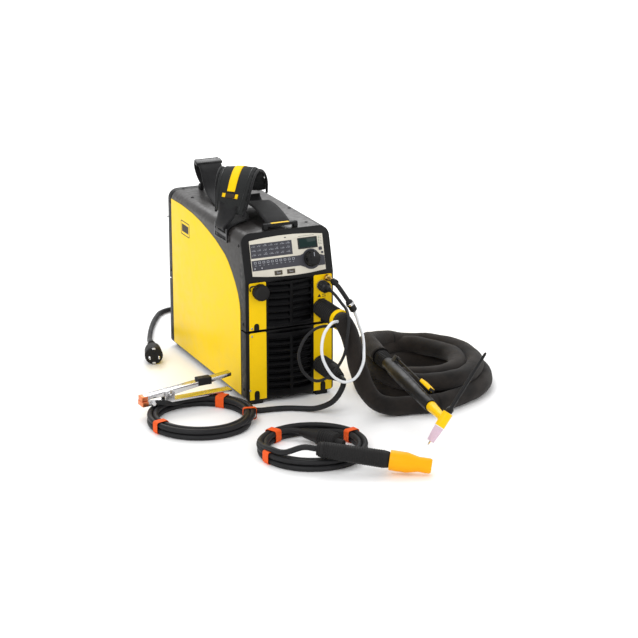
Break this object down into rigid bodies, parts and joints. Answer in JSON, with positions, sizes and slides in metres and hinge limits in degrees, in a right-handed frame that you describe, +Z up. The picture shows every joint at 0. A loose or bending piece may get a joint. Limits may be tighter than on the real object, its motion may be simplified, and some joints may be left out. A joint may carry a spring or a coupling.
{
  "type": "tig welding machine",
  "caption": "Portable AC/DC TIG inverter welder: tall dark case with yellow sides, louvred front, tilted control panel, padded strap, torch, work clamp, electrode holder and mains lead",
  "frame": {"origin": "On the floor under the middle of the case, between the four feet", "axes": "+X to the machine's right side seen from the front panel, -Y out of the front panel, +Z up"},
  "size_m": [0.7432, 1.1324, 0.4433],
  "materials": {
    "cover_metal": "satin graphite powder coat",
    "deck_steel": "zinc-plated sheet",
    "frame_plastic": "moulded black, fine texture",
    "panel_plate": "satin cream and silver overlay",
    "display_glass": "clear window over a dark LCD",
    "key_rubber": "soft dark key caps",
    "knob_plastic": "semi-gloss black",
    "rubber_black": "matte black rubber",
    "brass": "machined",
    "steel_plated": "nickel plated",
    "heatsink_alu": "extruded, natural",
    "board": "glass-fibre board with parts",
    "transformer_core": "laminated steel with varnished copper",
    "fabric_black": "woven nylon",
    "sleeve": "leather and textile torch sleeve",
    "hose_white": "translucent white hose",
    "yellow_plastic": "glossy yellow moulding",
    "orange_plastic": "heat-resistant orange moulding",
    "handle_plastic": "grippy black moulding",
    "ceramic": "unglazed pink ceramic",
    "clamp_steel": "bright zinc plated"
  },
  "bodies": {
    "machine": {"upper_cover": "cover_metal", "lower_cover": "cover_metal", "upper_deck": "deck_steel", "front_bezel_upper": "frame_plastic", "front_bezel_lower": "frame_plastic", "grille_upper": "frame_plastic", "grille_lower": "frame_plastic", "rear_panel_upper": "frame_plastic", "rear_panel_lower": "frame_plastic", "control_panel": "panel_plate", "display_window": "display_glass", "remote_socket_cap": "rubber_black", "control_socket": "steel_plated", "gas_outlet": "brass", "minus_socket": "frame_plastic", "plus_socket": "frame_plastic", "mains_gland": "frame_plastic", "gas_inlet": "brass", "fan_frame": "frame_plastic", "heatsink": "heatsink_alu", "inverter_board": "board", "transformer": "transformer_core", "ac_module": "heatsink_alu", "strap_anchor_front": "frame_plastic", "strap_anchor_rear": "frame_plastic", "strap_pad": "fabric_black", "strap_webbing_front": "fabric_black", "strap_webbing_rear": "fabric_black", "strap_buckle": "frame_plastic", "torch_plug": "rubber_black", "torch_hose": "sleeve", "torch_hose_coil": "sleeve", "torch_hose_end": "sleeve", "torch_handle": "handle_plastic", "torch_head": "yellow_plastic", "torch_nozzle": "ceramic", "torch_back_cap": "handle_plastic", "control_plug": "rubber_black", "control_lead": "rubber_black", "gas_coupling": "rubber_black", "gas_hose": "hose_white", "work_plug": "rubber_black", "work_lead": "rubber_black", "work_lead_coil": "rubber_black", "clamp_lower_jaw": "clamp_steel", "mains_lead": "rubber_black", "mains_lead_coil": "rubber_black", "mains_lead_tail": "rubber_black", "mains_plug": "rubber_black", "holder_lead_coil": "rubber_black", "holder_plug": "rubber_black", "holder_handle": "handle_plastic"},
    "encoder": {"encoder_knob": "knob_plastic"},
    "key_left_cap": {"key_left": "key_rubber"},
    "key_right_cap": {"key_right": "key_rubber"},
    "mains_switch": {"mains_switch_knob": "knob_plastic"},
    "fan": {"fan_rotor": "frame_plastic"},
    "trigger": {"torch_trigger": "yellow_plastic"},
    "clamp_jaw": {"clamp_upper_jaw": "clamp_steel"},
    "holder_jaw": {"holder_head": "orange_plastic"}
  },
  "joints": [
    {"name": "encoder_turn", "type": "hinge", "parent": "machine", "child": "encoder", "pos_m": [0.0485, -0.20406, 0.28522], "axis": [0, -0.9658, 0.2591], "continuous": true},
    {"name": "key_left_press", "type": "slide", "parent": "machine", "child": "key_left_cap", "axis": [0, 0.9658, -0.2591], "range_m": [0, 0.0006], "stiffness_N_per_m": 1500, "springref_m": -0.0008},
    {"name": "key_right_press", "type": "slide", "parent": "machine", "child": "key_right_cap", "axis": [0, 0.9658, -0.2591], "range_m": [0, 0.0006], "stiffness_N_per_m": 1500, "springref_m": -0.0008},
    {"name": "mains_switch_turn", "type": "hinge", "parent": "machine", "child": "mains_switch", "pos_m": [-0.072, 0.209, 0.262], "axis": [0, 1, 0], "range_deg": [0, 90]},
    {"name": "fan_spin", "type": "hinge", "parent": "machine", "child": "fan", "pos_m": [0, 0.172, 0.215], "axis": [0, 1, 0], "continuous": true},
    {"name": "trigger_press", "type": "hinge", "parent": "machine", "child": "trigger", "pos_m": [0.1795, -0.32454, 0.09651], "axis": [0.805, -0.0513, -0.5911], "range_deg": [0, 2], "stiffness_Nm_per_rad": 1.5, "springref_deg": -3.44},
    {"name": "clamp_open", "type": "hinge", "parent": "machine", "child": "clamp_jaw", "pos_m": [-0.2489, -0.18079, 0.0423], "axis": [-0.0698, 0.9976, 0], "range_deg": [0, 11], "stiffness_Nm_per_rad": 6, "springref_deg": -17.19},
    {"name": "holder_twist", "type": "hinge", "parent": "machine", "child": "holder_jaw", "pos_m": [-0.111, -0.582, 0.043], "axis": [0.8547, -0.5048, -0.121], "range_deg": [0, 270]}
  ]
}
